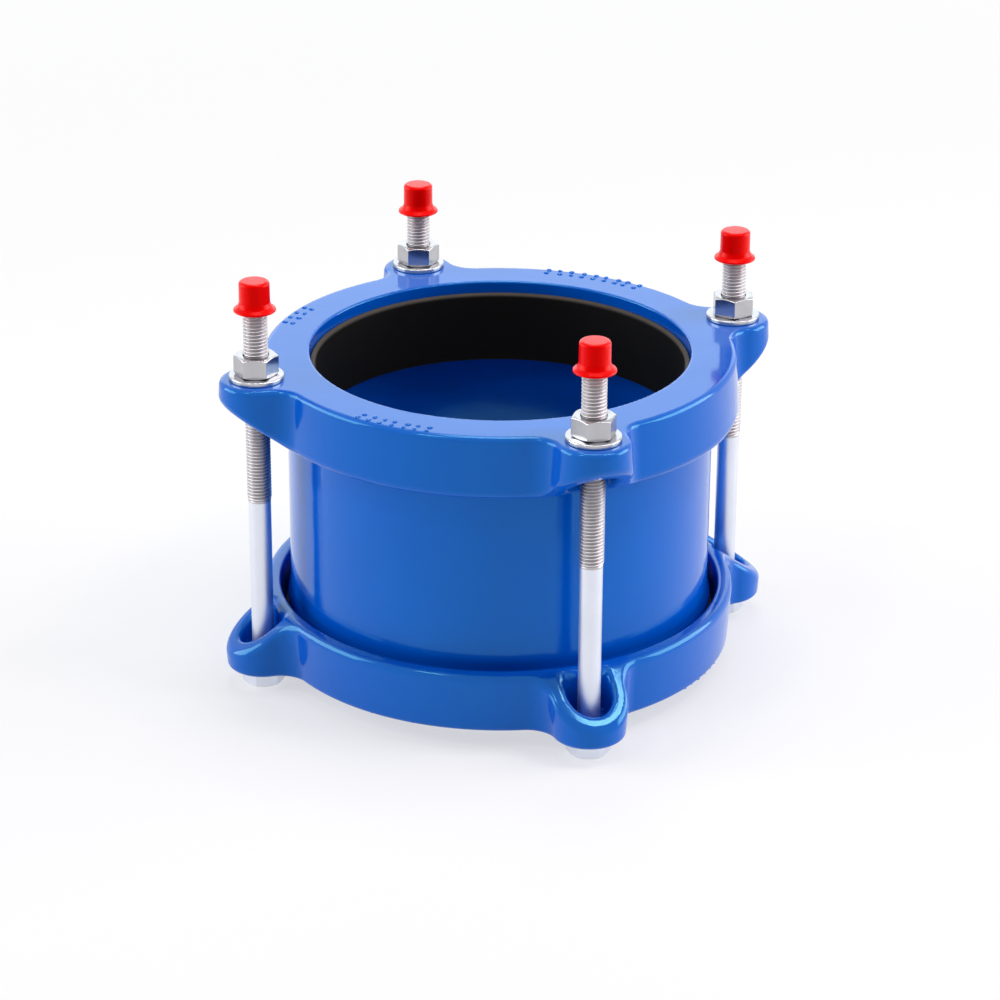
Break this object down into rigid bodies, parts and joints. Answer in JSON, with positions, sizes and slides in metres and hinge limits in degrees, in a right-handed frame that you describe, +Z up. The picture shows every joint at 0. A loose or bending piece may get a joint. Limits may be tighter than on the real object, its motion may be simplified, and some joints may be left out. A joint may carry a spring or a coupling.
{
  "type": "universal pipe coupling",
  "caption": "Wide-range pipe coupling: flared sleeve between two lugged end rings that long bolts draw together to squeeze wedge gaskets onto two pipe ends.",
  "frame": {"origin": "on the pipe axis, in the plane of the undersides of the bolt heads, on which the coupling stands", "axes": "+Z up along the pipe axis, -Y through the front bolt, +X through the right bolt"},
  "size_m": [0.2874, 0.2874, 0.2119],
  "materials": {
    "blue_coating": "gloss epoxy coating on cast iron",
    "black_rubber": "matt moulded rubber",
    "zinc_plating": "bright zinc plating",
    "red_plastic": "glossy soft moulded plastic"
  },
  "bodies": {
    "lower_end": {"lower_end_ring": "blue_coating", "lower_gasket": "black_rubber", "bolt_front": "zinc_plating", "bolt_right": "zinc_plating", "bolt_back": "zinc_plating", "bolt_left": "zinc_plating"},
    "upper_end": {"upper_end_ring": "blue_coating", "upper_gasket": "black_rubber", "washer_front": "zinc_plating", "washer_right": "zinc_plating", "washer_back": "zinc_plating", "washer_left": "zinc_plating"},
    "sleeve": {"centre_sleeve": "blue_coating"},
    "nut_front": {"nut_front": "zinc_plating"},
    "cap_front": {"thread_cap_front": "red_plastic"},
    "nut_right": {"nut_right": "zinc_plating"},
    "cap_right": {"thread_cap_right": "red_plastic"},
    "nut_back": {"nut_back": "zinc_plating"},
    "cap_back": {"thread_cap_back": "red_plastic"},
    "nut_left": {"nut_left": "zinc_plating"},
    "cap_left": {"thread_cap_left": "red_plastic"}
  },
  "joints": [
    {"name": "ring_draw", "type": "slide", "parent": "lower_end", "child": "upper_end", "axis": [0, 0, -1], "range_m": [0, 0.012], "deforming": ["upper_gasket", "lower_gasket"]},
    {"name": "sleeve_follow", "type": "slide", "parent": "lower_end", "child": "sleeve", "axis": [0, 0, -1], "range_m": [0, 0.006]},
    {"name": "nut_turn_front", "type": "hinge", "parent": "upper_end", "child": "nut_front", "pos_m": [0, -0.125, 0.1695], "axis": [0, 0, -1], "range_deg": [0, 2469]},
    {"name": "cap_pull_front", "type": "slide", "parent": "lower_end", "child": "cap_front", "axis": [0, 0, 1], "range_m": [0, 0.03]},
    {"name": "nut_turn_right", "type": "hinge", "parent": "upper_end", "child": "nut_right", "pos_m": [0.125, 0, 0.1695], "axis": [0, 0, -1], "range_deg": [0, 2469]},
    {"name": "cap_pull_right", "type": "slide", "parent": "lower_end", "child": "cap_right", "axis": [0, 0, 1], "range_m": [0, 0.03]},
    {"name": "nut_turn_back", "type": "hinge", "parent": "upper_end", "child": "nut_back", "pos_m": [0, 0.125, 0.1695], "axis": [0, 0, -1], "range_deg": [0, 2469]},
    {"name": "cap_pull_back", "type": "slide", "parent": "lower_end", "child": "cap_back", "axis": [0, 0, 1], "range_m": [0, 0.03]},
    {"name": "nut_turn_left", "type": "hinge", "parent": "upper_end", "child": "nut_left", "pos_m": [-0.125, 0, 0.1695], "axis": [0, 0, -1], "range_deg": [0, 2469]},
    {"name": "cap_pull_left", "type": "slide", "parent": "lower_end", "child": "cap_left", "axis": [0, 0, 1], "range_m": [0, 0.03]}
  ],
  "couplings": [
    {"joint": "sleeve_follow", "follows": "ring_draw", "ratio": 0.5},
    {"joint": "nut_turn_front", "follows": "ring_draw", "rad_per_m": 3590.4},
    {"joint": "nut_turn_right", "follows": "ring_draw", "rad_per_m": 3590.4},
    {"joint": "nut_turn_back", "follows": "ring_draw", "rad_per_m": 3590.4},
    {"joint": "nut_turn_left", "follows": "ring_draw", "rad_per_m": 3590.4}
  ]
}
